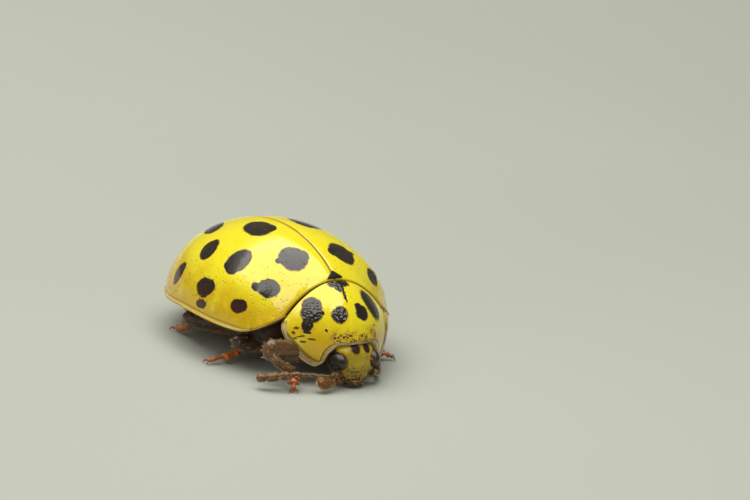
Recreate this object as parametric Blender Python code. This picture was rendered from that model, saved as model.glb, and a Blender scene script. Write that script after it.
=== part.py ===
"""A twenty-two-spot ladybird at life size, standing still with its head bowed.

Metres, +Z up. The head points to -Y and the animal's left side to +X.
The sizes below are in millimetres, because the whole insect is 4.2 mm long.
Heights are measured from the rim of the wing cases, which lies level at
GROUND above the floor. At the end every piece is moved so that the origin is
on the floor, under the middle of the model.
"""
import math

import bmesh
import bpy
from mathutils import Matrix, Vector

MM = 0.001
GAP = 0.02            # clear space left between neighbouring pieces
WELD = 0.002          # points closer than this are one point
GROUND = 0.56         # height of the wing-case rim above the floor

# Wing cases (elytra): a dome, measured from under its highest point
DOME_HALF_WIDTH = 1.368
DOME_HEIGHT = 1.197
DOME_FRONT = 1.487    # where the rim's outline would close in front
DOME_REAR = 1.963
CREST_FRONT = 1.753   # where the back's profile would meet the rim in front
FRONT_SQUARE = 2.73   # 2 is an ellipse, more is squarer shoulders
REAR_SQUARE = 2.04
SHOULDER_RISE = 0.392  # how far the rim climbs from the flank to DOME_FRONT
SHOULDER_START = 0.940
SHELL = 0.45          # thickness of a wing case over the back and along the rim
FRONT_SHELL = 0.25    # share of that thickness kept lengthways at the open front
NECK_CUT = 1.322      # the wing cases end here in front
DOME_RINGS = 24
DOME_SIDES = 11

# Pronotum: the arched shield between the wing cases and the head
HOOD_HIND = Vector((0.0, -1.347, 0.765))
HOOD_FRONT = Vector((0.0, -2.050, 0.020))
HOOD_BULGE = 0.11
HOOD_HALF_WIDTH = 0.900
HOOD_WIDEST = 0.22    # share of the length, from behind, where it is widest
HOOD_NARROWING = 0.50
HOOD_NARROWING_POWER = 2.2
HOOD_SIDE_HIND = Vector((0.0, -1.355, 0.380))
HOOD_SIDE_FRONT = Vector((0.0, -1.865, -0.290))
HOOD_SHELL = 0.26     # thickness of the plate
HOOD_COLUMNS = 20
HOOD_ROWS = 18
HOOD_OUTER = 0.55     # share of the rows on the outer face, the rest are on the inner

# Neck ring (prothorax) under the pronotum, as shares of the pronotum's width and length
NECK_WIDTH = 0.86
NECK_START = 0.10
NECK_END = 0.72
NECK_LOWEST = -0.40   # height of its underside
NECK_RINGS = 5
NECK_SIDES = 20

# Scutellum: the small three-cornered plate at the front end of the seam
PLATE_TIP = Vector((0.0, -1.195, 0.886))
PLATE_BASE = Vector((0.0, -1.312, 0.790))
PLATE_HALF_WIDTH = 0.105
PLATE_ROOT = Vector((0.0, 0.16, -0.34))   # from its face to its root in the body

# Body under the shells
BELLY = 0.34          # how far the belly hangs below the wing-case rim
WAIST = -0.30         # the chest ends and the abdomen starts here
CHEST_FRONT = -1.25
BELLY_SQUARE = 4      # 2 is a round belly, more is flatter
BELLY_SIDES = 12
BELLY_RINGS = 12

# Head
HEAD_CENTRE = Vector((0.0, -1.830, -0.200))
HEAD_RADII = Vector((0.400, 0.300, 0.285))
HEAD_HOLLOW = Vector((0.475, 0.335, 0.318))   # what the pronotum leaves free for it
EYE_CENTRE = Vector((0.338, -1.940, -0.215))
EYE_RADII = Vector((0.105, 0.145, 0.145))
LABRUM_CENTRE = Vector((0.0, -2.000, -0.440))
LABRUM_RADII = Vector((0.160, 0.110, 0.080))

# Limbs: the radius of each part where it starts, in its middle and at its end
FEMUR = (0.20, 0.235, 0.19)
TIBIA = (0.165, 0.175, 0.16)
TARSUS = (0.150, 0.160, 0.165)
STALK = (0.150, 0.125, 0.130)
CLUB = (0.140, 0.170, 0.120)
LIMB_RINGS = 6
LIMB_SIDES = 9
FOOT_LIFT = 0.100     # the last point of a foot above the floor

# Joints of the legs: hip, knee, ankle, and where the toe stands on the floor
LEGS = {
    "front_right": [(-0.28, -1.54, -0.26), (-1.07, -1.50, -0.14), (-0.84, -1.79, -0.37), (-0.96, -1.95)],
    "middle_right": [(-0.42, -0.82, -0.26), (-1.19, -0.84, -0.22), (-1.01, -0.48, -0.37), (-1.39, -0.47)],
    "hind_right": [(-0.42, -0.10, -0.26), (-1.10, 0.33, -0.22), (-0.90, 0.64, -0.37), (-0.88, 0.98)],
    "front_left": [(0.28, -1.50, -0.26), (0.90, -1.26, -0.14), (0.93, -1.00, -0.37), (1.19, -1.12)],
    "middle_left": [(0.42, -0.62, -0.26), (1.19, -0.52, -0.22), (1.01, -0.16, -0.37), (1.37, -0.12)],
    "hind_left": [(0.42, 0.02, -0.26), (1.10, 0.46, -0.22), (0.90, 0.77, -0.37), (0.93, 1.11)],
}
ANTENNAE = {
    "right": [(-0.25, -2.06, -0.34), (-0.55, -2.10, -0.32), (-0.87, -2.02, -0.33), (-1.10, -1.86, -0.36),
              (-1.32, -1.66, -0.37)],
    "left": [(0.25, -2.06, -0.34), (0.38, -2.05, -0.36), (0.50, -1.98, -0.37), (0.58, -1.88, -0.37),
             (0.68, -1.74, -0.37)],
}
STALK_POINTS = 4      # the stalk runs through the first points, the club from there on

SMOOTH_BELOW = math.radians(35)   # edges bent more than this stay sharp

COLOURS = {
    "shell_yellow": ((0.80, 0.62, 0.03), 0.28),
    "plate_black": ((0.02, 0.015, 0.012), 0.30),
    "face_yellow": ((0.62, 0.46, 0.05), 0.45),
    "eye_black": ((0.03, 0.022, 0.02), 0.25),
    "leg_amber": ((0.42, 0.13, 0.03), 0.35),
    "belly_brown": ((0.07, 0.035, 0.02), 0.45),
}


def material(name):
    """The finish of one kind of surface, made the first time it is asked for."""
    found = bpy.data.materials.get(name)
    if found:
        return found
    colour, roughness = COLOURS[name]
    made = bpy.data.materials.new(name)
    made.use_nodes = True
    shader = made.node_tree.nodes["Principled BSDF"]
    shader.inputs["Base Color"].default_value = (*colour, 1.0)
    shader.inputs["Roughness"].default_value = roughness
    shader.inputs["Metallic"].default_value = 0.0
    return made


def make_object(name, bm, finish):
    """Turn a finished bmesh into a named object with its material."""
    bmesh.ops.recalc_face_normals(bm, faces=bm.faces)
    mesh = bpy.data.meshes.new(name)
    bm.to_mesh(mesh)
    bm.free()
    piece = bpy.data.objects.new(name, mesh)
    bpy.context.scene.collection.objects.link(piece)
    mesh.materials.append(material(finish))
    return piece


def close_openings(bm):
    """Cap every open edge loop with one face."""
    rim = [edge for edge in bm.edges if edge.is_boundary]
    bmesh.ops.holes_fill(bm, edges=rim, sides=0)


def loft(rings):
    """Skin a row of rings with equal point counts, and cap both ends."""
    bm = bmesh.new()
    slot = bm.verts.layers.int.new("slot")
    bmesh.ops.create_circle(bm, segments=len(rings[0]), radius=1.0)
    bm.verts.ensure_lookup_table()
    for index, vert in enumerate(bm.verts):
        vert[slot] = index
        vert.co = rings[0][index]
    edges = list(bm.edges)
    for ring in rings[1:]:
        grown = bmesh.ops.extrude_edge_only(bm, edges=edges)["geom"]
        edges = [part for part in grown if isinstance(part, bmesh.types.BMEdge)]
        for vert in (part for part in grown if isinstance(part, bmesh.types.BMVert)):
            vert.co = ring[vert[slot]]
    bmesh.ops.remove_doubles(bm, verts=bm.verts, dist=WELD)
    close_openings(bm)
    return bm


def wrapped_grid(columns, rows, place):
    """Bend a flat grid: place(a, b) gives each point, with a and b from 0 to 1."""
    bm = bmesh.new()
    bmesh.ops.create_grid(bm, x_segments=columns, y_segments=rows, size=0.5)
    for vert in bm.verts:
        vert.co = place(vert.co.x + 0.5, vert.co.y + 0.5)
    bmesh.ops.remove_doubles(bm, verts=bm.verts, dist=WELD)
    close_openings(bm)
    return bm


def largest_part(bm):
    """Drop every loose crumb but the largest connected piece."""
    islands = []
    seen = set()
    for first in bm.verts:
        if first in seen:
            continue
        seen.add(first)
        island = [first]
        for vert in island:
            for edge in vert.link_edges:
                other = edge.other_vert(vert)
                if other not in seen:
                    seen.add(other)
                    island.append(other)
        islands.append(island)
    islands.sort(key=len)
    for island in islands[:-1]:
        bmesh.ops.delete(bm, geom=island, context="VERTS")


def grown_copy(piece, margin):
    """A cutter: the piece with its surface moved outwards by margin."""
    bm = bmesh.new()
    bm.from_mesh(piece.data)
    bm.normal_update()
    moves = [(vert, vert.normal.copy()) for vert in bm.verts]
    for vert, outwards in moves:
        vert.co += outwards * margin
    mesh = bpy.data.meshes.new("cutter")
    bm.to_mesh(mesh)
    bm.free()
    cutter = bpy.data.objects.new("cutter", mesh)
    cutter.hide_render = True
    cutter.display_type = "WIRE"
    bpy.context.scene.collection.objects.link(cutter)
    return cutter


def apart(piece, other):
    """True where the boxes round two pieces don't come within GAP."""
    for axis in range(3):
        one = [vert.co[axis] for vert in piece.data.vertices]
        two = [vert.co[axis] for vert in other.data.vertices]
        if min(one) > max(two) + GAP or min(two) > max(one) + GAP:
            return True
    return False


def carve(piece, neighbours):
    """Cut the piece back so that it keeps GAP to each of its neighbours."""
    for neighbour in neighbours:
        if apart(piece, neighbour):
            continue
        cutter = grown_copy(neighbour, GAP)
        cut = piece.modifiers.new("carve", "BOOLEAN")
        cut.operation = "DIFFERENCE"
        cut.solver = "EXACT"
        cut.use_self = True
        cut.object = cutter
        depsgraph = bpy.context.evaluated_depsgraph_get()
        result = bpy.data.meshes.new_from_object(piece.evaluated_get(depsgraph))
        piece.modifiers.clear()
        bm = bmesh.new()
        bm.from_mesh(result)
        largest_part(bm)
        welded = bm.copy()
        bmesh.ops.remove_doubles(welded, verts=welded.verts, dist=WELD)
        bmesh.ops.dissolve_degenerate(welded, edges=welded.edges, dist=WELD)
        still_closed = all(edge.is_manifold for edge in welded.edges)
        (welded if still_closed else bm).to_mesh(piece.data)
        welded.free()
        bm.free()
        bpy.data.meshes.remove(result)
        bpy.data.objects.remove(cutter)


def slice_off(bm, point, outwards):
    """Cut away all that lies beyond a plane, and close the cut."""
    geometry = bm.verts[:] + bm.edges[:] + bm.faces[:]
    bmesh.ops.bisect_plane(bm, geom=geometry, plane_co=point, plane_no=outwards, clear_outer=True)
    close_openings(bm)


def dome_point(along, angle, inset):
    """A point of the wing-case dome. along runs from the neck (0) to the rear end
    (1), and angle from the seam (0) over one side to the rim (pi / 2)."""
    width = DOME_HALF_WIDTH - inset
    rear = DOME_REAR - inset
    y = -NECK_CUT + (NECK_CUT + rear) * along
    if y > 0:
        reach = max(0.0, 1 - (y / rear) ** REAR_SQUARE) ** (1 / REAR_SQUARE)
        crest = math.sqrt(max(0.0, 1 - (y / rear) ** 2))
    else:
        front = DOME_FRONT - inset * FRONT_SHELL
        reach = (1 - (-y / front) ** FRONT_SQUARE) ** (1 / FRONT_SQUARE)
        crest = math.sqrt(1 - (y / CREST_FRONT) ** 2)
    climb = max(0.0, (-y - SHOULDER_START) / (DOME_FRONT - SHOULDER_START))
    rim = SHOULDER_RISE * climb ** 2
    top = (DOME_HEIGHT - inset) * crest
    return Vector((width * reach * math.sin(angle), y, rim + (top - rim) * math.cos(angle)))


def dome_steps():
    """Shares of the dome's length, closer together towards the rear end."""
    return [math.sin(step / DOME_RINGS * math.pi / 2) for step in range(DOME_RINGS + 1)]


def elytron(name, side):
    """One wing case: a thick half dome, open in front and below."""
    rings = []
    for along in dome_steps():
        ring = []
        for inset, order in ((0.0, range(DOME_SIDES)), (SHELL, reversed(range(DOME_SIDES)))):
            for step in order:
                point = dome_point(along, step / (DOME_SIDES - 1) * math.pi / 2, inset)
                ring.append(Vector((side * (point.x + GAP / 2), point.y, point.z)))
        rings.append(ring)
    return make_object(name, loft(rings), "shell_yellow")


def scutellum():
    """The small three-cornered plate at the front end of the seam."""
    across = Vector((PLATE_HALF_WIDTH, 0, 0))
    face = [PLATE_BASE - across, PLATE_BASE + across, PLATE_TIP]
    root = [corner + PLATE_ROOT for corner in face]
    return make_object("scutellum", loft([root, face]), "plate_black")


def hood_point(across, along, inset):
    """A point of the pronotum. across runs from -1 to 1 over the arch, and along
    from its hind edge (0) to its front edge (1)."""
    down = (HOOD_FRONT - HOOD_HIND).normalized()
    outwards = Vector((0, down.z, -down.y))
    middle = HOOD_HIND.lerp(HOOD_FRONT, along)
    middle = middle + outwards * (HOOD_BULGE * 4 * along * (1 - along) - inset)
    side = HOOD_SIDE_HIND.copy()
    side.y += (HOOD_SIDE_FRONT.y - HOOD_SIDE_HIND.y) * along
    side.z += (HOOD_SIDE_FRONT.z - HOOD_SIDE_HIND.z) * math.sin(along * math.pi / 2)
    from_widest = abs(along - HOOD_WIDEST) / (1 - HOOD_WIDEST)
    narrowing = HOOD_NARROWING * from_widest ** HOOD_NARROWING_POWER
    half = HOOD_HALF_WIDTH * (1 - narrowing) - inset
    angle = across * math.pi / 2
    point = middle.lerp(side, 1 - math.cos(angle))
    point.x = half * math.sin(angle)
    return point


def pronotum():
    """The shield: an arched plate, open below. The grid runs forwards over its
    outer face and back again over its inner one."""

    def place(a, b):
        across = 2 * a - 1
        if b <= HOOD_OUTER:
            return hood_point(across, b / HOOD_OUTER, 0.0)
        back = (1 - b) / (1 - HOOD_OUTER)
        return hood_point(across, back, HOOD_SHELL if 0 < back < 1 else 0.0)

    bm = wrapped_grid(HOOD_COLUMNS, HOOD_ROWS, place)
    return make_object("pronotum", bm, "shell_yellow")


def prothorax():
    """The neck ring under the pronotum, which carries the front legs."""
    inset = HOOD_SHELL + 2 * GAP
    rings = []
    for step in range(NECK_RINGS + 1):
        along = NECK_START + (NECK_END - NECK_START) * step / NECK_RINGS
        ring = []
        for index in range(NECK_SIDES):
            turn = 2 * math.pi * index / NECK_SIDES
            across = math.cos(turn)
            if math.sin(turn) >= 0:
                ring.append(hood_point(across * NECK_WIDTH, along, inset))
                continue
            edge = hood_point(math.copysign(NECK_WIDTH, across), along, inset)
            sunk = edge.z + (NECK_LOWEST - edge.z) * abs(math.sin(turn))
            ring.append(Vector((edge.x * abs(across), edge.y, sunk)))
        rings.append(ring)
    bm = loft(rings)
    ends = [face for face in bm.faces if len(face.verts) == NECK_SIDES]
    bmesh.ops.poke(bm, faces=ends)
    return make_object("prothorax", bm, "belly_brown")


def trunk(name, front, rear):
    """The part of the body between two places, filling the wing cases from below."""
    inset = SHELL + 2 * GAP
    length = NECK_CUT + DOME_REAR - inset
    first = (front + NECK_CUT) / length
    last = (rear + NECK_CUT) / length
    rings = []
    for step in range(BELLY_RINGS + 1):
        along = first + (last - first) * math.sin(step / BELLY_RINGS * math.pi / 2)
        tail = max(0.0, along * length - NECK_CUT) / (length - NECK_CUT)
        low = -BELLY * math.sqrt(max(0.0, 1 - tail ** BELLY_SQUARE))
        ring = []
        for index in range(2 * BELLY_SIDES):
            angle = math.pi * (index / BELLY_SIDES - 0.5)
            if index <= BELLY_SIDES:
                ring.append(dome_point(along, angle, inset))
                continue
            across = math.sin(angle)
            side = dome_point(along, math.pi / 2, inset)
            depth = math.sqrt(1 - across ** BELLY_SQUARE)
            ring.append(Vector((side.x * across, side.y, side.z + (low - side.z) * depth)))
        rings.append(ring)
    return make_object(name, loft(rings), "belly_brown")


def ball(name, centre, radii, finish, segments, rings):
    """An egg-shaped body."""
    bm = bmesh.new()
    bmesh.ops.create_uvsphere(bm, u_segments=segments, v_segments=rings, radius=1.0)
    stretch = Matrix.Translation(centre) @ Matrix.Diagonal((*radii, 1.0))
    bmesh.ops.transform(bm, matrix=stretch, verts=bm.verts)
    return make_object(name, bm, finish)


def smooth_path(points, steps):
    """Places along a smooth curve through the given points."""
    path = [Vector(point) for point in points]
    padded = [path[0] * 2 - path[1], *path, path[-1] * 2 - path[-2]]
    spans = len(path) - 1
    places = []
    for step in range(steps + 1):
        span = min(int(step * spans / steps), spans - 1)
        t = step * spans / steps - span
        before, start, end, after = padded[span:span + 4]
        square = before * 2 - start * 5 + end * 4 - after
        cube = start * 3 - before - end * 3 + after
        places.append(start + ((end - before) * t + square * t ** 2 + cube * t ** 3) / 2)
    return places


def limb(name, points, radii, finish, floor=None):
    """A round limb along a path, with its radius at its start, middle and end."""
    first, middle, last = radii
    places = smooth_path(points, LIMB_RINGS - 1)
    rings = []
    for index, centre in enumerate(places):
        ahead = places[min(index + 1, LIMB_RINGS - 1)] - places[max(index - 1, 0)]
        turn = ahead.to_track_quat("Z", "Y")
        t = index / (LIMB_RINGS - 1)
        radius = first * (1 - t) * (1 - 2 * t) + middle * 4 * t * (1 - t) + last * t * (2 * t - 1)
        ring = []
        for step in range(LIMB_SIDES):
            angle = 2 * math.pi * step / LIMB_SIDES
            spoke = Vector((math.cos(angle), math.sin(angle), 0)) * radius
            ring.append(centre + turn @ spoke)
        rings.append(ring)
    bm = loft(rings)
    if floor is not None:
        slice_off(bm, Vector((0, 0, floor)), Vector((0, 0, -1)))
    return make_object(name, bm, finish)


def leg(place, joints, body):
    """Femur, tibia and tarsus of one leg, each cut clear of what it meets."""
    hip, knee, ankle, toe = joints
    toe = (*toe, FOOT_LIFT - GROUND)
    femur = limb(f"leg_{place}_femur", [hip, knee], FEMUR, "leg_amber")
    carve(femur, body)
    tibia = limb(f"leg_{place}_tibia", [knee, ankle], TIBIA, "leg_amber")
    carve(tibia, body + [femur])
    tarsus = limb(f"leg_{place}_tarsus", [ankle, toe], TARSUS, "leg_amber", floor=-GROUND)
    carve(tarsus, body + [femur, tibia])
    return [femur, tibia, tarsus]


def stand_on_origin(pieces):
    """Move the model so that the origin is on the floor under its middle, and
    turn millimetres into metres."""
    corners = [vert.co for piece in pieces for vert in piece.data.vertices]
    low = Vector([min(corner[axis] for corner in corners) for axis in range(3)])
    high = Vector([max(corner[axis] for corner in corners) for axis in range(3)])
    middle = (low + high) / 2
    to_origin = Matrix.Scale(MM, 4) @ Matrix.Translation((-middle.x, -middle.y, -low.z))
    for piece in pieces:
        piece.data.transform(to_origin)
        piece.data.shade_smooth()
        piece.data.set_sharp_from_angle(angle=SMOOTH_BELOW)


def build():
    for old in list(bpy.data.objects):
        bpy.data.objects.remove(old)

    shells = [elytron("elytron_right", -1), elytron("elytron_left", 1)]
    plate = scutellum()
    for shell in shells:
        carve(shell, [plate])
    hood = pronotum()
    carve(hood, [plate])
    neck = prothorax()
    chest = trunk("thorax", CHEST_FRONT, WAIST - GAP)
    abdomen = trunk("abdomen", WAIST, DOME_REAR - SHELL - 2 * GAP)
    head = ball("head", HEAD_CENTRE, HEAD_RADII, "face_yellow", 20, 12)
    eyes = []
    for name, side in (("right", -1), ("left", 1)):
        centre = Vector((side * EYE_CENTRE.x, EYE_CENTRE.y, EYE_CENTRE.z))
        eyes.append(ball(f"eye_{name}", centre, EYE_RADII, "eye_black", 12, 8))
    carve(head, eyes)
    labrum = ball("labrum", LABRUM_CENTRE, LABRUM_RADII, "leg_amber", 14, 8)
    carve(labrum, [head])
    hollow = ball("head_hollow", HEAD_CENTRE, HEAD_HOLLOW, "face_yellow", 24, 14)
    carve(hood, [hollow])
    carve(neck, [hollow, hood, chest] + shells)
    bpy.data.objects.remove(hollow)
    pieces = shells + [plate, hood, neck, chest, abdomen, head, labrum] + eyes

    core = shells + [hood, neck, chest, abdomen]
    for place, joints in LEGS.items():
        pieces += leg(place, joints, core)
    front_legs = [piece for piece in pieces if piece.name.startswith("leg_front")]
    face = [head, labrum, hood] + eyes
    for name, points in ANTENNAE.items():
        stalk = limb(f"antenna_{name}", points[:STALK_POINTS], STALK, "leg_amber")
        carve(stalk, face + front_legs)
        club = limb(f"antenna_club_{name}", points[STALK_POINTS - 1:], CLUB, "leg_amber")
        carve(club, face + front_legs + [stalk])
        pieces += [stalk, club]
    stand_on_origin(pieces)


build()
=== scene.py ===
# %% [markdown]
# # A twenty-two-spot ladybird, life size
# This lesson finishes a still model of a small yellow ladybird. The solids come from the
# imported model, in metres. They say where each part is, and this script gives the parts
# their thin shells, their hairs and their finishes.
# Sizes are written in millimetres, because the whole animal is 4.2 mm long.

# %% Load the solids
import math
import random

import bmesh
import bpy
from mathutils import Euler, Matrix, Vector


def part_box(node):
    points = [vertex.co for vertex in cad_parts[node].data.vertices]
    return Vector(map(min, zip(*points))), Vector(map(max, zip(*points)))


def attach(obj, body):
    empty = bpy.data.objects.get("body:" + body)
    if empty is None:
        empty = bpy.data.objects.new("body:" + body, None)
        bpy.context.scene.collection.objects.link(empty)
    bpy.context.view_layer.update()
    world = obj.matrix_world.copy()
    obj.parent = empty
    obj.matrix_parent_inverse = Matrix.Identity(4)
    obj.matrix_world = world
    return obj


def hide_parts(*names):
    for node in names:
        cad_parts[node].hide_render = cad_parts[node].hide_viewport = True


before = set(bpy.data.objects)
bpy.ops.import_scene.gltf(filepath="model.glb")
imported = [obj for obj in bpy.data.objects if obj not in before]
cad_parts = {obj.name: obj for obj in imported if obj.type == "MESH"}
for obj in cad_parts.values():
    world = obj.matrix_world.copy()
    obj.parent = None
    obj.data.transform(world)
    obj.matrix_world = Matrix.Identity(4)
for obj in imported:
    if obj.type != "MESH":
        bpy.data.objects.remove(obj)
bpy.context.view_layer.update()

MM = 0.001

# %% [markdown]
# ## One origin for every piece
# All shapes below are measured from the level of the wing cases' rim, under the highest
# point of the back. The boxes of the two wing-case solids say where that is.

# %% Find the origin
NECK_CUT = 1.322                       # the wing cases begin this far in front of the origin
left_box, right_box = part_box("elytron_left"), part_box("elytron_right")
ORIGIN = Vector(((left_box[1].x + right_box[0].x) / 2, right_box[0].y + NECK_CUT * MM, right_box[0].z))
GROUND = ORIGIN.z / MM                 # height of the rim above the floor
print("origin in mm:", [round(v / MM, 3) for v in ORIGIN])


# %% [markdown]
# ## Shader maths as plain expressions
# A pattern is easier to read as a sum than as a web of nodes. Field wraps one socket, so
# that the usual signs add the Math nodes, and Finish makes every other node from its type,
# its settings and its sockets.

# %% Field and Finish
class Field:
    """A value that varies over a surface."""

    def __init__(self, finish, socket):
        self.finish = finish
        self.socket = socket

    def math(self, operation, *others):
        sockets = dict(enumerate((self, *others)))
        return self.finish.node("ShaderNodeMath", {"operation": operation}, sockets)

    def __add__(self, other):
        return self.math("ADD", other)

    def __sub__(self, other):
        return self.math("SUBTRACT", other)

    def __mul__(self, other):
        return self.math("MULTIPLY", other)

    def __rsub__(self, other):
        return self.finish.node("ShaderNodeMath", {"operation": "SUBTRACT"}, {0: other, 1: self})

    __radd__ = __add__
    __rmul__ = __mul__

    def rise(self, low, high):
        """0 below low, 1 above high and smooth between; low may be the larger one."""
        return self.finish.node("ShaderNodeMapRange", {"interpolation_type": "SMOOTHSTEP"},
                                {"Value": self, "From Min": low, "From Max": high})


class Finish:
    """A Principled material. Constants go on its own sockets, patterns come from nodes."""

    def __init__(self, name, **constants):
        self.material = bpy.data.materials.new(name)
        self.material.use_nodes = True
        self.nodes = self.material.node_tree.nodes
        self.shader = self.nodes["Principled BSDF"]
        for key, value in constants.items():
            self.shader.inputs[key.replace("_", " ")].default_value = value

    def node(self, kind, settings=None, sockets=None, out=0):
        made = self.nodes.new(kind)
        for key, value in (settings or {}).items():
            setattr(made, key, value)
        for key, value in (sockets or {}).items():
            if isinstance(value, Field):
                self.material.node_tree.links.new(value.socket, made.inputs[key])
            else:
                made.inputs[key].default_value = value
        return Field(self, made.outputs[out])

    def feed(self, key, field):
        self.material.node_tree.links.new(field.socket, self.shader.inputs[key])

    def place(self):
        """Where a point is, in millimetres from the model's origin."""
        metres = self.node("ShaderNodeTexCoord", out="Object")
        return self.node("ShaderNodeVectorMath", {"operation": "MULTIPLY_ADD"},
                         {0: metres, 1: (1 / MM,) * 3, 2: tuple(-ORIGIN / MM)})

    def parts(self, vector):
        return [self.node("ShaderNodeSeparateXYZ", sockets={0: vector}, out=axis) for axis in range(3)]

    def noise(self, vector, scale, detail=3.0, out="Fac"):
        return self.node("ShaderNodeTexNoise", sockets={"Vector": vector, "Scale": scale, "Detail": detail}, out=out)

    def cells(self, vector, scale, out="Distance"):
        return self.node("ShaderNodeTexVoronoi", sockets={"Vector": vector, "Scale": scale}, out=out)

    def warp(self, vector, scale, amount):
        """Push a pattern about, so that its edges are uneven."""
        push = self.noise(vector, scale, 2.0, out="Color")
        centred = self.node("ShaderNodeVectorMath", {"operation": "SUBTRACT"}, {0: push, 1: (0.5, 0.5, 0.5)})
        return self.node("ShaderNodeVectorMath", {"operation": "MULTIPLY_ADD"},
                         {0: centred, 1: (amount,) * 3, 2: vector})

    def mix(self, factor, one, two):
        ends = [(*end, 1.0) if isinstance(end, tuple) else end for end in (one, two)]
        return self.node("ShaderNodeMix", {"data_type": "RGBA"}, {0: factor, 6: ends[0], 7: ends[1]}, out=2)

    def attribute(self, name):
        return self.node("ShaderNodeAttribute", {"attribute_name": name}, out="Fac")

    def bump(self, height, distance, strength=1.0):
        """Relief of the given depth in millimetres."""
        return self.node("ShaderNodeBump", sockets={"Strength": strength, "Distance": distance * MM, "Height": height})

    def nearest(self, vector, marks):
        """Distance to the nearest mark: under 1 inside it. A mark is a place, a turn and three radii."""
        found = None
        for centre, turn, radii in marks:
            local = self.node("ShaderNodeMapping", {"vector_type": "TEXTURE"},
                              {"Vector": vector, "Location": tuple(centre), "Rotation": tuple(turn), "Scale": radii})
            reach = self.node("ShaderNodeVectorMath", {"operation": "LENGTH"}, {0: local}, out=1)
            found = reach if found is None else found.math("MINIMUM", reach)
        return found


# %% [markdown]
# ## Making and placing pieces
# Every piece is built in millimetres around the origin. One function moves it to its place
# in metres, gives it its finish, and hides the solids that it stands for.

# %% Place a piece
WELD = 0.0004                          # points closer than this become one, in millimetres


def link_object(name, data):
    """Put a mesh, lamp or camera in the scene as an object."""
    made = bpy.data.objects.new(name, data)
    bpy.context.scene.collection.objects.link(made)
    return made


def place_piece(bm, name, finish, nodes=(), wall=0.0, smooth=1, outwards=None):
    """Turn a bmesh into a finished piece. wall is a Solidify thickness in millimetres.

    An open sheet has no inside to recalculate from, so outwards gives a point within it.
    """
    bmesh.ops.recalc_face_normals(bm, faces=bm.faces)
    if outwards is not None:
        facing = sum((face.calc_center_median() - outwards).dot(face.normal) * face.calc_area() for face in bm.faces)
        if facing < 0:
            bmesh.ops.reverse_faces(bm, faces=bm.faces)
    bmesh.ops.transform(bm, matrix=Matrix.Translation(ORIGIN) @ Matrix.Scale(MM, 4), verts=bm.verts)
    mesh = bpy.data.meshes.new(name)
    bm.to_mesh(mesh)
    bm.free()
    mesh.shade_smooth()
    mesh.materials.append(finish.material)
    piece = link_object(name, mesh)
    if wall:
        shell = piece.modifiers.new("wall", "SOLIDIFY")
        shell.thickness = wall * MM
        shell.offset = -1
    if smooth:
        rounder = piece.modifiers.new("round", "SUBSURF")
        rounder.levels = rounder.render_levels = smooth
    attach(piece, "root")
    if nodes:
        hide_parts(*nodes)
    print(name, len(mesh.polygons), "faces")
    return piece


def bent_grid(columns, rows, place):
    """Bend a flat grid: place(a, b) gives each point, with a and b from 0 to 1, kept as UVs."""
    bm = bmesh.new()
    bmesh.ops.create_grid(bm, x_segments=columns, y_segments=rows, size=0.5)
    sheet = bm.loops.layers.uv.new("sheet")
    for face in bm.faces:
        for loop in face.loops:
            loop[sheet].uv = (loop.vert.co.x + 0.5, loop.vert.co.y + 0.5)
    for vert in bm.verts:
        vert.co = place(vert.co.x + 0.5, vert.co.y + 0.5)
    bmesh.ops.remove_doubles(bm, verts=bm.verts, dist=WELD)
    return bm


def ease(low, high, value):
    """0 below low, 1 above high and smooth between."""
    t = min(max((value - low) / (high - low), 0.0), 1.0)
    return t * t * (3 - 2 * t)


# %% [markdown]
# ## The dome of the wing cases
# Seen from above the wing cases are an egg with square shoulders; seen from the side they
# rise steeply in front and run out behind. One function gives any point of that dome, so
# that shells, spots and bristles all agree.

# %% The dome
CASE_FRONT = 1.340                     # the cases begin just under the shield's hind edge
HALF_WIDTH, HEIGHT = 1.368, 1.197
FRONT, REAR = 1.487, 1.963             # half lengths of the outline before and behind the origin
CREST = 1.753                          # half length of the seam's curve in front
FRONT_SQUARE, REAR_SQUARE = 2.73, 2.04  # 2 would be an ellipse, more is squarer
SHOULDER_START, SHOULDER_RISE = 0.840, 0.500    # where the rim starts to climb, and how far
RIM_HEIGHT = 0.020
REAR_DROP = 0.095                      # the rim sinks this far behind
ROOF = 0.78                            # near the neck the section is more like a roof


def dome_at(y, angle, inset=0.0):
    """A point over the place y, from the seam (angle 0) down to the rim (pi / 2)."""
    rear = REAR - inset
    front = FRONT - inset / 4
    if y > 0:
        reach = max(0.0, 1 - (y / rear) ** REAR_SQUARE) ** (1 / REAR_SQUARE)
        crest = max(0.0, 1 - (y / rear) ** 1.9) ** (1 / 1.9)
    else:
        reach = (1 - (-y / front) ** FRONT_SQUARE) ** (1 / FRONT_SQUARE)
        crest = math.sqrt(1 - (y / CREST) ** 2)
    climb = max(0.0, (-y - SHOULDER_START) / (FRONT - SHOULDER_START))
    rim = RIM_HEIGHT + SHOULDER_RISE * climb ** 2 - REAR_DROP * ease(0.2, 1.4, y)
    top = HEIGHT * crest
    share = max(math.cos(angle), 0.0) ** (1 + ROOF * ease(-0.80, -1.322, y))
    return Vector(((HALF_WIDTH - inset) * reach * math.sin(angle), y, rim + (top - rim) * share))


def dome_point(along, angle, inset=0.0):
    """The same, with along from the neck (0) to the rear tip (1)."""
    return dome_at(-CASE_FRONT + (CASE_FRONT + REAR - inset) * along, angle, inset)


def dome_spot(x, y):
    """The dome point above (x, y), and its normal."""
    def under(px, py):
        flank = dome_at(py, math.pi / 2)
        return dome_at(py, math.asin(min(px / flank.x, 1.0)))
    step = 0.002
    here = under(x, y)
    across = under(x - step, y) - here
    back = under(x, y + step) - here
    return here, back.cross(across).normalized()


print("top of the dome in mm:", round(HEIGHT + GROUND, 3))

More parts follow.
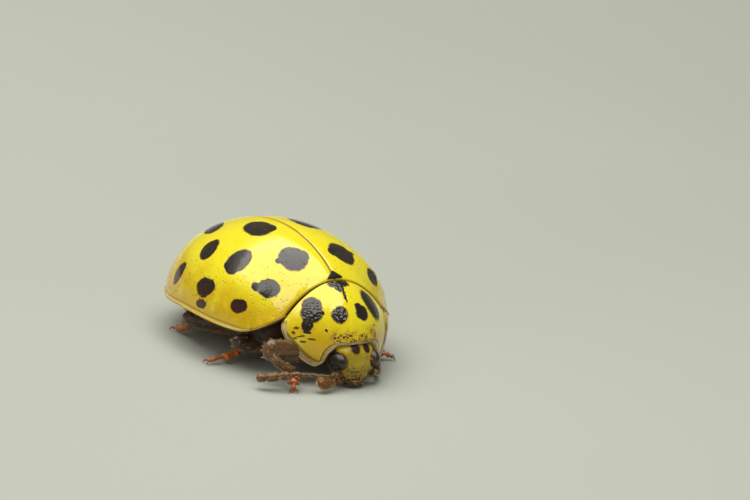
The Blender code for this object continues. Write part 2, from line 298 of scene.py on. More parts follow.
# %% [markdown]
# ## Marks on the shells
# Each wing case carries eleven black spots in rows of 3, 4, 1, 2 and 1. A spot is a flat
# egg laid on the dome: its place, its half length, its half width and a turn. The shader
# measures how far a point is from each egg, and bends the coordinates first, so that the
# edges come out ragged as on the living shell.

# %% Spots of the wing cases
CASE_SPOTS = [    # x, y, half length, half width, turn in degrees
    (0.408, -0.869, 0.225, 0.195, 11), (0.575, -0.810, 0.055, 0.075, 22), (0.235, -0.885, 0.090, 0.067, 0),
    (0.859, -0.996, 0.158, 0.129, -28), (0.985, -0.870, 0.074, 0.056, 24),
    (1.200, -0.804, 0.135, 0.101, -10),
    (0.386, 0.066, 0.270, 0.190, 10), (0.280, -0.060, 0.140, 0.090, 20),
    (0.949, -0.347, 0.190, 0.215, -8), (1.050, -0.318, 0.155, 0.089, 17),
    (1.285, -0.078, 0.195, 0.132, -8),
    (1.351, -0.108, 0.120, 0.070, -10),
    (0.535, 0.935, 0.270, 0.150, 25),
    (0.974, 0.356, 0.152, 0.190, -32),
    (1.183, 0.755, 0.129, 0.180, 22),
    (0.420, 1.450, 0.160, 0.130, 0),
]
SPOT_DEPTH = 0.16                      # half thickness of a mark's egg


def marks_on(surface, spots):
    """Lay each spot on a surface as (place, turn, radii)."""
    marks = []
    for x, y, half_length, half_width, degrees in spots:
        centre, normal = surface(x, y)
        forwards = (Vector((0, -1, 0)) - normal * -normal.y).normalized()
        axes = Matrix((forwards.cross(normal), forwards, normal)).transposed()
        turned = axes @ Matrix.Rotation(math.radians(degrees), 3, "Z")
        marks.append((centre, turned.to_euler(), (half_width, half_length, SPOT_DEPTH)))
    return marks


CASE_MARKS = marks_on(dome_spot, CASE_SPOTS)
print("marks on each wing case:", len(CASE_MARKS))

# %% [markdown]
# ## The yellow of the shells
# The shell is lemon yellow above and more golden low on the flanks, with fine dark
# punctures, and so hard and smooth that it mirrors the light. The yellow, the pits and a
# slight unevenness are patterns; the gloss is the same all over, so it is a constant.

# %% Colours of the shells
LEMON = (0.800, 0.665, 0.012)
PALE_LEMON = (0.860, 0.760, 0.040)
GOLD = (0.580, 0.335, 0.002)
BLACK = (0.014, 0.009, 0.005)
FRINGE = (0.170, 0.052, 0.010)
RIM_PALE = (0.720, 0.560, 0.130)
SEAM_BROWN = (0.290, 0.130, 0.012)
FLANK = 0.80                           # share of the case's width where the rim begins
RIM_EDGE = 0.86                        # and where it turns under


def shell_finish(name):
    return Finish(name, Roughness=0.10, IOR=1.56,
                  Subsurface_Weight=0.10, Subsurface_Radius=(1.0, 0.60, 0.04), Subsurface_Scale=0.10 * MM)


def shell_yellow(finish, place, low, high):
    """Lemon above high, golden below low, with soft mottling."""
    x, y, z = finish.parts(place)
    mottle = finish.noise(place, 1.6, 4.0)
    gold = (z + (mottle - 0.5) * 0.9).rise(high, low)
    colour = finish.mix(gold * 0.85, LEMON, GOLD)
    pale = finish.noise(place, 5.0, 5.0).rise(0.50, 0.80) * 0.55
    return finish.mix(pale, colour, PALE_LEMON)


def punctures(finish, place, scale, size):
    """Small round pits, one in each of most cells."""
    pit = finish.cells(place, scale).rise(size, size * 0.45)
    kept = finish.parts(finish.cells(place, scale, "Color"))[0].rise(0.36, 0.40)
    return pit * kept


def case_finish():
    finish = shell_finish("wing_case")
    place = finish.place()
    x, y, z = finish.parts(place)
    colour = shell_yellow(finish, place, 0.22, 0.80)
    pits = punctures(finish, place, 20.0, 0.29)
    crowd = finish.noise(place, 2.2, 2.0).rise(0.40, 0.60)
    colour = finish.mix(pits * z.rise(1.15, 0.40) * (0.35 + crowd * 0.6), colour, (0.120, 0.050, 0.003))
    sheet = finish.node("ShaderNodeUVMap", {"uv_map": "sheet"})
    along, across, _ = finish.parts(sheet)
    rim = across.rise(FLANK - 0.012, FLANK - 0.003)
    wrinkle = finish.noise(place, 16.0, 3.0)
    colour = finish.mix(rim * (0.40 + wrinkle * 0.5) * along.rise(0.72, 0.50), colour, RIM_PALE)
    groove = across.rise(FLANK - 0.024, FLANK - 0.016) * across.rise(FLANK - 0.004, FLANK - 0.012)
    under = across.rise(FLANK + 0.040, RIM_EDGE)
    colour = finish.mix((groove * 0.6).math("MAXIMUM", under * 0.8), colour, SEAM_BROWN)
    seam = x.math("ABSOLUTE").rise(0.030, 0.006) * z.rise(0.15, 0.3)
    neck = along.rise(0.034, 0.018)
    colour = finish.mix(seam.math("MAXIMUM", neck) * 0.85, colour, SEAM_BROWN)
    bent = finish.warp(finish.warp(place, 5.5, 0.060), 17.0, 0.030)
    bx, by, bz = finish.parts(bent)
    mirrored = finish.node("ShaderNodeCombineXYZ", sockets={0: bx.math("ABSOLUTE"), 1: by, 2: bz})
    reach = finish.nearest(mirrored, CASE_MARKS)
    colour = finish.mix(reach.rise(1.14, 0.97) * 0.8, colour, FRINGE)
    black = reach.rise(1.04, 0.95)
    dark = finish.mix(finish.noise(place, 7.0, 2.0).rise(0.4, 0.7) * 0.6, BLACK, (0.030, 0.018, 0.008))
    dark = finish.mix(z.rise(0.55, 0.25) * 0.8, dark, (0.046, 0.012, 0.006))
    finish.feed("Base Color", finish.mix(black, colour, dark))
    swell = finish.noise(place, 3.0, 2.0) * 1.6 + finish.noise(place, 30.0, 4.0) * 0.30
    skin = swell - pits * 1.2 + wrinkle * rim * 0.9 - groove * 1.6 - black * 0.5
    finish.feed("Normal", finish.bump(skin, 0.005, 0.6))
    return finish


CASE_FINISH = case_finish()
print("wing case finish:", len(CASE_FINISH.nodes), "nodes")

# %% [markdown]
# ## The wing cases
# Each wing case (elytron) is a thin bent sheet. Its width runs from the seam over the
# flank, flares out as a narrow rim, turns round the edge and comes back underneath as the
# flat strip (epipleuron) that seals against the body. A grid bent by one function makes
# that whole sweep, and Solidify gives it the thickness of a real shell.

# %% Build the wing cases
FLARE = 0.016                          # how far the rim stands out from the flank
LIP = 0.016                            # half thickness of the rim's edge
EPIPLEURON = 0.27                      # width of the strip underneath
FLANK_END = math.radians(88.4)
NECK_FOLD = 0.030                      # share of the length that turns down in front
SEAM_FOLD = 0.016


def case_point(a, b):
    along = math.sin(max(a - NECK_FOLD, 0.0) / (1 - NECK_FOLD) * math.pi / 2)
    foot = dome_point(along, FLANK_END, FLARE)
    edge = dome_point(along, math.pi / 2)
    if b < FLANK:
        point = dome_point(along, FLANK_END * b / FLANK, FLARE)
        point.z -= 0.008 * (1 - ease(0.0, SEAM_FOLD * 2, b))
    elif b < RIM_EDGE:
        out = (b - FLANK) / (RIM_EDGE - FLANK)
        point = foot.lerp(edge, out)
        point.z = edge.z + (foot.z - edge.z) * (1 - out) ** 2 + LIP * out
    else:
        under = (b - RIM_EDGE) / (1 - RIM_EDGE)
        inner = dome_point(along, math.pi / 2, EPIPLEURON)
        point = edge.lerp(inner, ease(0.0, 1.0, under) * 0.98)
        point.z = edge.z + LIP - 2 * LIP * min(1.0, under / 0.25) + 0.06 * under ** 2
    fold = 1 - min(a / NECK_FOLD, 1.0)
    if fold > 0:
        point = point.lerp(Vector((0.0, -NECK_CUT + 0.22, 0.25)), 0.08 * fold)
    return point


for side, label in ((1, "left"), (-1, "right")):
    bm = bent_grid(84, 72, case_point)
    for vert in bm.verts:
        vert.co.x = side * (vert.co.x + 0.0015)
    place_piece(bm, "wing_case_" + label, CASE_FINISH, ["elytron_" + label], wall=0.018,
                outwards=Vector((side * 0.3, 0, 0.2)))

# %% [markdown]
# ## The shield behind the head
# The pronotum is one arched plate. Its hind edge fits the front of the wing cases, its
# sides come down to a thin, see-through rim, and its front edge is scooped out for the
# head. It is bent from a grid as the wing cases are, with its corners rounded off, and it
# stores each point's distance from the edge for its finish.

# %% The shield's surface
HIND, BROW = Vector((0.0, -1.347, 0.765)), Vector((0.0, -2.043, 0.080))    # ends of the middle line
BULGE = 0.110                          # how far that line arches
SHIELD_HALF_WIDTH = 0.835
SHIELD_WIDEST = 0.129                  # the share of its length where it is widest
SHIELD_NARROWING, SHIELD_POWER = 0.503, 1.33    # how much, and how suddenly, it narrows in front
SIDE_HIND, SIDE_FRONT = Vector((0.0, -1.360, 0.267)), Vector((0.0, -1.824, -0.317))    # ends of the side rims
ROOF_HIND, ROOF_MIDDLE, ROOF_FRONT = 0.864, 0.099, -0.090    # from a round section (0) to a roof (1)
SHIELD_FLARE = 0.045                   # the side rim turns up and out a little
ARC_LENGTH = 1.20                      # from the middle down to the side rim, in millimetres
SHIELD_LENGTH = 1.00                   # and along its middle


def shield_at(across, along):
    """A point of the shield: across runs from -1 to 1, along from its hind edge to its front."""
    down = (BROW - HIND).normalized()
    outwards = Vector((0, down.z, -down.y))
    middle = HIND.lerp(BROW, along) + outwards * (BULGE * 4 * along * (1 - along))
    side = SIDE_HIND.lerp(SIDE_FRONT, along)
    side.z = SIDE_HIND.z + (SIDE_FRONT.z - SIDE_HIND.z) * math.sin(along * math.pi / 2)
    narrowing = SHIELD_NARROWING * (abs(along - SHIELD_WIDEST) / (1 - SHIELD_WIDEST)) ** SHIELD_POWER
    roof = ROOF_MIDDLE + (ROOF_HIND - ROOF_MIDDLE) * (1 - ease(0.0, 0.5, along))
    roof += (ROOF_FRONT - ROOF_MIDDLE) * ease(0.5, 1.0, along)
    angle = across * math.pi / 2
    lowered = (1 - math.cos(angle)) * (1 - roof) + math.sin(angle) ** 2 * roof
    point = middle.lerp(side, lowered)
    point.x = SHIELD_HALF_WIDTH * (1 - narrowing) * math.sin(angle)
    flare = SHIELD_FLARE * ease(0.84, 1.0, abs(across))
    point.x += math.copysign(flare, across)
    point.z += flare * 0.4
    return point


def shield_spot(across, along):
    """The shield point there, and its normal."""
    here = shield_at(across, along)
    right = shield_at(across + 0.01, along) - here
    front = shield_at(across, along + 0.01) - here
    return here, front.cross(right).normalized()


SHIELD_SPOTS = [    # across, along, half length, half width, turn in degrees
    (-0.405, 0.216, 0.136, 0.124, 7), (-0.466, 0.310, 0.150, 0.140, -25), (-0.387, 0.389, 0.058, 0.034, 20),
    (-0.590, 0.400, 0.085, 0.105, 19), (-0.669, 0.475, 0.060, 0.022, 12),
    (0.000, 0.058, 0.090, 0.160, 0), (-0.022, 0.140, 0.085, 0.062, 0), (-0.012, 0.290, 0.120, 0.020, -9),
    (-0.190, 0.560, 0.122, 0.112, -44), (0.150, 0.580, 0.118, 0.100, -39), (0.110, 0.485, 0.056, 0.050, -23),
    (0.375, 0.350, 0.225, 0.155, 43),
    (-0.455, 0.656, 0.024, 0.014, -39), (0.395, 0.690, 0.020, 0.014, -44),
]
SPECKS = [    # fine brown flecks below the large right-hand spot
    (-0.721, 0.296, 0.040, 0.014, 25), (-0.793, 0.305, 0.028, 0.018, -17), (-0.762, 0.439, 0.048, 0.012, 27),
    (-0.837, 0.382, 0.026, 0.012, 5), (-0.681, 0.594, 0.046, 0.012, 2), (-0.793, 0.508, 0.040, 0.010, 12),
]
SHIELD_MARKS = marks_on(shield_spot, SHIELD_SPOTS)
SPECK_MARKS = marks_on(shield_spot, SPECKS)
print("marks on the shield:", len(SHIELD_MARKS))

# %% [markdown]
# ## The shield's finish
# It shares the yellow of the wing cases. Its rim is clear horn: pale brown, with a thin
# dark line inside it and a pale painted highlight along its very edge. Fine dark punctures
# crowd together along the front edge.

# %% Finish of the shield
RIM_WIDTH = 0.075


def shield_finish():
    finish = shell_finish("shield")
    place = finish.place()
    x, y, z = finish.parts(place)
    colour = shell_yellow(finish, place, -0.08, 0.62)
    brow = z.rise(0.30, 0.16) * y.rise(-1.82, -1.92) * x.math("ABSOLUTE").rise(0.50, 0.22)
    fine = finish.warp(place, 11.0, 0.060)
    specks = finish.cells(fine, 25.0).rise(0.50, 0.30).math("MAXIMUM", finish.cells(fine, 44.0).rise(0.45, 0.25))
    patchy = finish.noise(place, 8.0, 3.0).rise(0.38, 0.58)
    crowd = specks * (brow * (0.15 + patchy + z.rise(0.20, 0.10) * 0.5)).math("MINIMUM", 1.0)
    torn = finish.warp(finish.warp(place, 9.0, 0.05), 34.0, 0.035)
    stray = finish.nearest(torn, SPECK_MARKS).rise(1.5, 0.9) * 0.9
    pits = punctures(finish, place, 9.0, 0.12) * 0.5
    dark = crowd.math("MAXIMUM", stray).math("MAXIMUM", pits)
    colour = finish.mix(dark, colour, (0.035, 0.012, 0.005))
    colour = finish.mix(brow * patchy * 0.30, colour, (0.160, 0.070, 0.012))
    bent = finish.warp(finish.warp(place, 7.0, 0.050), 26.0, 0.040)
    reach = finish.nearest(bent, SHIELD_MARKS)
    colour = finish.mix(reach.rise(1.22, 1.0) * 0.85, colour, FRINGE)
    black = reach.rise(1.06, 0.94)
    colour = finish.mix(black, colour, BLACK)
    edge = finish.attribute("edge")
    line = edge.rise(RIM_WIDTH + 0.030, RIM_WIDTH + 0.010) * edge.rise(RIM_WIDTH - 0.018, RIM_WIDTH)
    rim = edge.rise(RIM_WIDTH + 0.006, RIM_WIDTH - 0.010)
    horn = finish.mix(finish.noise(place, 12.0, 4.0).rise(0.35, 0.7), (0.210, 0.120, 0.036), (0.460, 0.320, 0.115))
    colour = finish.mix(rim, colour, horn)
    # The pale golden line along the very edge is a painted highlight, standing in for the gloss on the rim's clear
    # horn.
    colour = finish.mix(edge.rise(0.028, 0.010) * 0.5, colour, (0.760, 0.620, 0.320))
    colour = finish.mix(line * 0.8, colour, (0.090, 0.048, 0.010))
    finish.feed("Base Color", colour)
    grain = finish.noise(place, 26.0, 5.0) * 0.45 + finish.noise(place, 4.0, 2.0) * 1.2
    rough = black * finish.cells(place, 24.0) * 1.6
    relief = grain - line * 1.2 - (crowd + pits) * 0.8 + rough
    relief = relief + edge.rise(0.030, 0.0) * 1.2 + finish.noise(place, 20.0, 4.0) * rim * 0.8
    finish.feed("Normal", finish.bump(relief, 0.007, 0.7))
    return finish


SHIELD_FINISH = shield_finish()
print("shield finish:", len(SHIELD_FINISH.nodes), "nodes")

# %% Build the shield
SIDE = 0.90                            # share of the grid's half width on the outer face
HIND_FOLD = 0.05                       # shares of its length that turn under behind
FRONT_FOLD = 0.94                      # and in front
CORNER = Vector((0.42, 0.13))          # how much of each front corner is rounded
HIND_CORNER = Vector((0.14, 0.16))
EYE_NOTCH = 0.075                      # the front edge is cut back over each eye


def rounded(across, along):
    """Pull the corners of a square sheet in to quarter rounds."""
    sign = math.copysign(1.0, across)
    corner, far = (CORNER, along) if along > 0.5 else (HIND_CORNER, 1 - along)
    dx = (abs(across) - (1 - corner.x)) / corner.x
    dy = (far - (1 - corner.y)) / corner.y
    if dx <= 0 or dy <= 0:
        return across, along
    pull = max(dx, dy) / math.hypot(dx, dy)
    across = sign * (1 - corner.x + corner.x * dx * pull)
    far = 1 - corner.y + corner.y * dy * pull
    return across, far if along > 0.5 else 1 - far


def shield_folds(a, b):
    """Place on the outer face, how far the sheet is folded under there, and how far the rim is."""
    across = (2 * a - 1) / SIDE
    along = (b - HIND_FOLD) / (FRONT_FOLD - HIND_FOLD)
    fold = max((abs(across) - 1) / (1 / SIDE - 1), -along / (HIND_FOLD / (FRONT_FOLD - HIND_FOLD)),
               (along - 1) / ((1 - FRONT_FOLD) / (FRONT_FOLD - HIND_FOLD)), 0.0)
    across = min(max(across, -1.0), 1.0)
    along = min(max(along, 0.0), 1.0)
    thin = 1 + 3 * (1 - ease(0.22, 0.60, abs(across)))         # the rim is narrow above the face
    edge = min((1 - abs(across)) * ARC_LENGTH * 0.62, (1 - along) * SHIELD_LENGTH * thin)
    across, along = rounded(across, along)
    notch = ease(0.72, 1.0, along) * ease(0.14, 0.48, abs(across)) * ease(0.98, 0.66, abs(across))
    return across, along - EYE_NOTCH * notch, fold, edge


def shield_point(a, b):
    across, along, fold, _ = shield_folds(a, b)
    point = shield_at(across, along)
    if fold:
        inwards = (Vector((0.0, -1.62, -0.10)) - point).normalized()
        point = point + inwards * (0.10 * fold) - Vector((0, 0, 0.012 * min(1.0, 3 * fold)))
    return point


bm = bent_grid(112, 72, shield_point)
edge_layer = bm.verts.layers.float.new("edge")
flat = bm.loops.layers.uv["sheet"]
for vert in bm.verts:
    a, b = vert.link_loops[0][flat].uv
    vert[edge_layer] = shield_folds(a, b)[3]
place_piece(bm, "shield_plate", SHIELD_FINISH, ["pronotum"], wall=0.028,
            outwards=Vector((0, -1.5, -0.1)))

# %% [markdown]
# ## The little plate at the seam
# The scutellum is a small black triangle between the shield and the wing cases. It starts
# as a three-sided disc that is extruded and bevelled, then tilted to lie on the slope.

# %% Finish and build the scutellum
def plate_finish():
    finish = Finish("scutellum_black", Roughness=0.45, Specular_IOR_Level=0.15, Coat_Weight=0.25, Coat_Roughness=0.2)
    place = finish.place()
    tone = finish.noise(place, 14.0, 3.0).rise(0.3, 0.7)
    finish.feed("Base Color", finish.mix(tone, (0.005, 0.004, 0.003), (0.016, 0.010, 0.005)))
    finish.feed("Normal", finish.bump(finish.noise(place, 40.0, 3.0), 0.004))
    return finish


bm = bmesh.new()
bmesh.ops.create_circle(bm, cap_ends=True, segments=3, radius=1.0)
top = bmesh.ops.extrude_face_region(bm, geom=bm.faces[:])["geom"]
lid = [part for part in top if isinstance(part, bmesh.types.BMVert)]
bmesh.ops.translate(bm, verts=lid, vec=(0, 0, 1))
bmesh.ops.bevel(bm, geom=bm.edges[:], offset=0.16, segments=3, profile=0.5, affect="EDGES", material=-1)
slope = Vector((0.0, 0.117, 0.096)).normalized()
tilt = Matrix((Vector((1, 0, 0)), slope, Vector((1, 0, 0)).cross(slope))).transposed().to_4x4()
size = Matrix.Diagonal((0.150, 0.084, 0.04, 1.0))
seat = Matrix.Translation((0.0, -1.280, 0.800)) @ tilt @ size
bmesh.ops.transform(bm, matrix=seat, verts=bm.verts)
place_piece(bm, "scutellar_plate", plate_finish(), ["scutellum"])

# %% [markdown]
# ## The head
# The head hangs face down in front of the shield. It is shaped from a ball: flat between
# the eyes, hollowed where the eyes sit, and drawn out below into the short snout plate
# (clypeus). Real ladybird heads are set so deep that only this face shows.

# %% Shape of the head
HEAD_CENTRE, HEAD_RADII = Vector((0.0, -1.830, -0.200)), Vector((0.345, 0.270, 0.275))
HEAD_SQUARE = 2.5                      # 2 would be a plain ball
EYE_CENTRE, EYE_RADII = Vector((0.266, -1.938, -0.180)), Vector((0.110, 0.188, 0.128))


def head_shape(direction):
    """Where the head's skin lies in a direction from its centre."""
    reach = sum(abs(direction[axis]) ** HEAD_SQUARE for axis in range(3)) ** (-1 / HEAD_SQUARE)
    point = HEAD_CENTRE + Vector([direction[axis] * reach * HEAD_RADII[axis] for axis in range(3)])
    snout = ease(-0.33, -0.42, point.z) * ease(0.0, 0.6, -direction.y) * (1 - ease(0.13, 0.25, abs(point.x)))
    point.y -= 0.030 * snout
    point.z -= 0.014 * snout
    for side in (1, -1):
        to_eye = point - Vector((side * EYE_CENTRE.x, EYE_CENTRE.y, EYE_CENTRE.z))
        near = math.sqrt(sum((to_eye[axis] / (EYE_RADII[axis] * 1.16)) ** 2 for axis in range(3)))
        if near < 1.35:
            ring = ease(1.35, 1.08, near) * ease(0.80, 1.05, near) * ease(0.03, -0.07, side * to_eye.x)
            point += direction * (0.010 * ring - 0.03 * ease(1.0, 0.7, near))
    return point


def bent_ball(segments, rings, shape):
    """A ball whose surface is moved to shape(direction)."""
    bm = bmesh.new()
    bmesh.ops.create_uvsphere(bm, u_segments=segments, v_segments=rings, radius=1.0)
    for vert in bm.verts:
        vert.co = shape(vert.co.normalized())
    return bm


HEAD_MARKS = [    # two dusky patches on the forehead: place, turn and radii
    ((-0.052, -2.045, 0.006), (0, 0, 0), (0.068, 0.12, 0.074)),
    ((0.128, -2.045, 0.004), (0, 0, 0), (0.060, 0.12, 0.072)),
]


def head_finish():
    finish = Finish("face_yellow", Roughness=0.42, Specular_IOR_Level=0.2, Coat_Weight=0.35, Coat_Roughness=0.20,
                    Subsurface_Weight=0.12, Subsurface_Radius=(1.0, 0.55, 0.08), Subsurface_Scale=0.10 * MM)
    place = finish.place()
    x, y, z = finish.parts(place)
    colour = finish.mix(finish.noise(place, 4.0, 4.0).rise(0.3, 0.75), (0.500, 0.370, 0.010), (0.360, 0.245, 0.008))
    low = z.rise(-0.18, -0.34)
    patchy = finish.noise(place, 7.0, 3.0).rise(0.35, 0.60)
    pits = finish.cells(place, 24.0).rise(0.52, 0.30) * (0.10 + low * (0.35 + patchy)).math("MINIMUM", 1.0)
    colour = finish.mix(low * 0.6, colour, (0.270, 0.170, 0.012))
    colour = finish.mix((pits * 0.95).math("MINIMUM", 1.0), colour, (0.045, 0.018, 0.006))
    sides = x.math("ABSOLUTE")
    cheek = sides.rise(0.268, 0.300) * z.rise(-0.36, -0.32)
    behind = y.rise(-1.93, -1.84).math("MAXIMUM", cheek)
    colour = finish.mix(behind, colour, (0.048, 0.024, 0.012))
    bent = finish.warp(finish.warp(place, 12.0, 0.045), 40.0, 0.020)
    reach = finish.nearest(bent, HEAD_MARKS)
    colour = finish.mix(reach.rise(1.25, 0.80), colour, (0.030, 0.008, 0.010))
    finish.feed("Base Color", colour)
    relief = finish.noise(place, 34.0, 3.0) * 0.5 - pits
    finish.feed("Normal", finish.bump(relief, 0.008, 0.8))
    return finish


place_piece(bent_ball(72, 56, head_shape), "head_skin", head_finish(), ["head"])

# %% [markdown]
# ## The eyes
# A beetle's eye is a dome of some hundreds of tiny lenses. The lenses are far too small to
# model, so a cell pattern gives their relief on a smooth egg. They look black, with a
# brownish rim where the light comes through.

# %% Finish and build the eyes
def eye_finish():
    finish = Finish("eye_black", Roughness=0.35, Specular_IOR_Level=0.2, Coat_Weight=0.7, Coat_Roughness=0.16)
    place = finish.place()
    lens = finish.cells(place, 58.0)
    x, y, z = finish.parts(place)
    inner = x.math("ABSOLUTE").rise(0.300, 0.235) * 0.8
    colour = finish.mix(finish.noise(place, 9.0, 3.0).rise(0.35, 0.7), (0.012, 0.008, 0.006), (0.026, 0.014, 0.009))
    colour = finish.mix(inner, colour, (0.120, 0.035, 0.018))
    finish.feed("Base Color", finish.mix(lens.rise(0.35, 0.55) * 0.6, colour, (0.006, 0.004, 0.004)))
    finish.feed("Normal", finish.bump(1 - lens, 0.005))
    return finish


EYE_FINISH = eye_finish()
for side, label in ((1, "left"), (-1, "right")):
    centre = Vector((side * EYE_CENTRE.x, EYE_CENTRE.y, EYE_CENTRE.z))
    bm = bent_ball(40, 32, lambda way: centre + Vector([way[axis] * EYE_RADII[axis] for axis in range(3)]))
    place_piece(bm, "eye_dome_" + label, EYE_FINISH, ["eye_" + label])

# %% [markdown]
# ## Round limbs
# Legs, feelers and mouthparts are all lengths of horny tube with closed, rounded ends. One
# function grows such a tube ring by ring along a smooth path. A profile says how wide and
# how high it is at each place, and the function remembers the rings for the bristles.

# %% Paths and tubes
beds = {"limb": [], "face": []}        # where bristles grow, filled as the tubes are made


def bed(group, rings, count, length, lean, skip=0.0):
    """Ask for count bristles of that length on a tube, past the share skip of its length."""
    beds[group].append((rings, count, length, lean, skip))


def smooth_path(points, steps):
    """Places along a smooth curve through the given points."""
    path = [Vector(point) for point in points]
    padded = [path[0] * 2 - path[1], *path, path[-1] * 2 - path[-2]]
    spans = len(path) - 1
    places = []
    for step in range(steps + 1):
        span = min(int(step * spans / steps), spans - 1)
        t = step * spans / steps - span
        before, start, end, after = padded[span:span + 4]
        square = before * 2 - start * 5 + end * 4 - after
        cube = start * 3 - before - end * 3 + after
        places.append(start + ((end - before) * t + square * t ** 2 + cube * t ** 3) / 2)
    return places


def tube(bm, points, profile, sides=14, steps=20, up=Vector((0, 0, 1))):
    """Grow a closed tube. profile(t) gives half width and half height. Returns its rings."""
    places = smooth_path(points, steps)
    slot = bm.verts.layers.int.get("slot") or bm.verts.layers.int.new("slot")
    started = bmesh.ops.create_circle(bm, segments=sides, radius=1.0)["verts"]
    edges = list({edge for vert in started for edge in vert.link_edges})
    for index, vert in enumerate(started):
        vert[slot] = index
    rings = []
    ends = []
    for step, centre in enumerate(places):
        ahead = (places[min(step + 1, steps)] - places[max(step - 1, 0)]).normalized()
        side = ahead.cross(up).normalized()
        rise = side.cross(ahead)
        wide, high = profile(step / steps)
        if step:
            grown = bmesh.ops.extrude_edge_only(bm, edges=edges)["geom"]
            edges = [part for part in grown if isinstance(part, bmesh.types.BMEdge)]
            started = [part for part in grown if isinstance(part, bmesh.types.BMVert)]
        for vert in started:
            turn = 2 * math.pi * vert[slot] / sides
            vert.co = centre + side * (wide * math.cos(turn)) + rise * (high * math.sin(turn))
        if step in (0, steps):
            ends.append(list(edges))
        rings.append((centre, ahead, side, rise, wide, high))
    for rim in ends:
        bmesh.ops.holes_fill(bm, edges=rim, sides=0)
    return rings


def rounded_profile(stops, blunt=0.10):
    """Width and height along a tube from (share, half width, half height) stops, with round ends."""
    def profile(t):
        for (t0, w0, h0), (t1, w1, h1) in zip(stops, stops[1:]):
            if t <= t1:
                break
        blend = ease(t0, t1, t)
        near_end = min(t, 1 - t) / blunt
        cap = math.sqrt(max(1 - (1 - min(near_end, 1.0)) ** 2, 0.0))
        cap = max(cap, 0.06)
        return (w0 + (w1 - w0) * blend) * cap, (h0 + (h1 - h0) * blend) * cap
    return profile


# %% [markdown]
# ## The horn of legs and feelers
# Thin horn lets light through. The femora are dark brown, the shanks amber and the feet
# orange, with darker and paler flecks. The finish blends these by the height and the distance
# from the body, and a little scattering under the surface warms the edges.

# %% Finishes of legs, feelers and mouthparts
def horn_finish(name, dark, light, low, high, coat=0.8, spread=1.0):
    """Horn that turns from dark to light between the distances low and high from the body.

    spread is 1 where the distance is measured sideways and down, and 0 where only down counts.
    """
    finish = Finish(name, Roughness=0.36, Specular_IOR_Level=0.2, Coat_Weight=coat, Coat_Roughness=0.14,
                    Subsurface_Weight=0.15, Subsurface_Radius=(1.0, 0.30, 0.06), Subsurface_Scale=0.06 * MM)
    place = finish.place()
    x, y, z = finish.parts(place)
    away = (x.math("ABSOLUTE") * spread - z * 0.9).rise(low, high)
    streak = finish.noise(place, 9.0, 4.0)
    colour = finish.mix((away + (streak - 0.5) * 0.6).rise(0.1, 0.9), dark, light)
    colour = finish.mix(finish.noise(place, 26.0, 3.0).rise(0.45, 0.75) * 0.45, colour, (0.045, 0.016, 0.006))
    colour = finish.mix(finish.noise(place, 15.0, 2.0).rise(0.55, 0.8) * 0.35, colour, (0.420, 0.190, 0.040))
    finish.feed("Base Color", colour)
    finish.feed("Normal", finish.bump(finish.noise(place, 45.0, 3.0), 0.005, 0.8))
    return finish


FRONT_LEG_FINISH = horn_finish("front_leg_horn", (0.105, 0.050, 0.014), (0.480, 0.110, 0.014), 0.22, 0.40, 1.0, 0.0)
LEG_FINISH = horn_finish("leg_horn", (0.036, 0.019, 0.010), (0.460, 0.120, 0.018), 0.20, 0.36, 0.8, 0.0)
FEELER_FINISH = horn_finish("feeler_horn", (0.085, 0.032, 0.007), (0.140, 0.058, 0.013), 0.70, 1.60, 0.5)
CLAW_FINISH = horn_finish("claw_horn", (0.150, 0.050, 0.016), (0.260, 0.075, 0.020), 1.10, 1.48, 1.0)
MOUTH_FINISH = horn_finish("mouth_horn", (0.080, 0.030, 0.008), (0.130, 0.046, 0.011), 0.40, 0.90, 0.5)

# %% [markdown]
# ## The legs
# A ladybird's leg has a broad flattened thigh (femur), a slim shank (tibia), a foot of
# two lobed pads and a long claw joint, and two hooked claws. Each leg is one piece: its
# joints overlap as the real horn sleeves do. The paths keep close to the solids' limbs,
# and the claws stand on the floor. All twelve claws are joined in one piece of their own.

# %% Where the joints of the legs are
CLAW_TIP = -GROUND + 0.002
LEGS = {    # hip, knee, ankle, and where the toe stands on the floor
    "front_right": ((-0.28, -1.54, -0.24), (-1.215, -1.51, -0.055), (-0.86, -1.78, -0.34), (-0.955, -1.945)),
    "middle_right": ((-0.42, -0.82, -0.34), (-1.27, -0.84, -0.12), (-0.84, -0.53, -0.38), (-1.375, -0.485)),
    "hind_right": ((-0.42, -0.10, -0.34), (-1.25, 0.47, -0.15), (-0.97, 0.66, -0.37), (-1.00, 0.98)),
    "front_left": ((0.28, -1.50, -0.24), (0.88, -1.20, -0.13), (0.96, -1.02, -0.36), (1.17, -1.13)),
    "middle_left": ((0.42, -0.62, -0.34), (1.25, -0.54, -0.14), (0.95, -0.20, -0.37), (1.37, -0.12)),
    "hind_left": ((0.42, 0.02, -0.34), (1.14, 0.54, -0.16), (0.92, 0.78, -0.38), (0.95, 1.13)),
}
THIGH = {"front": 0.168, "middle": 0.118, "hind": 0.130}    # half height of each thigh
claws = bmesh.new()
print("legs:", len(LEGS))


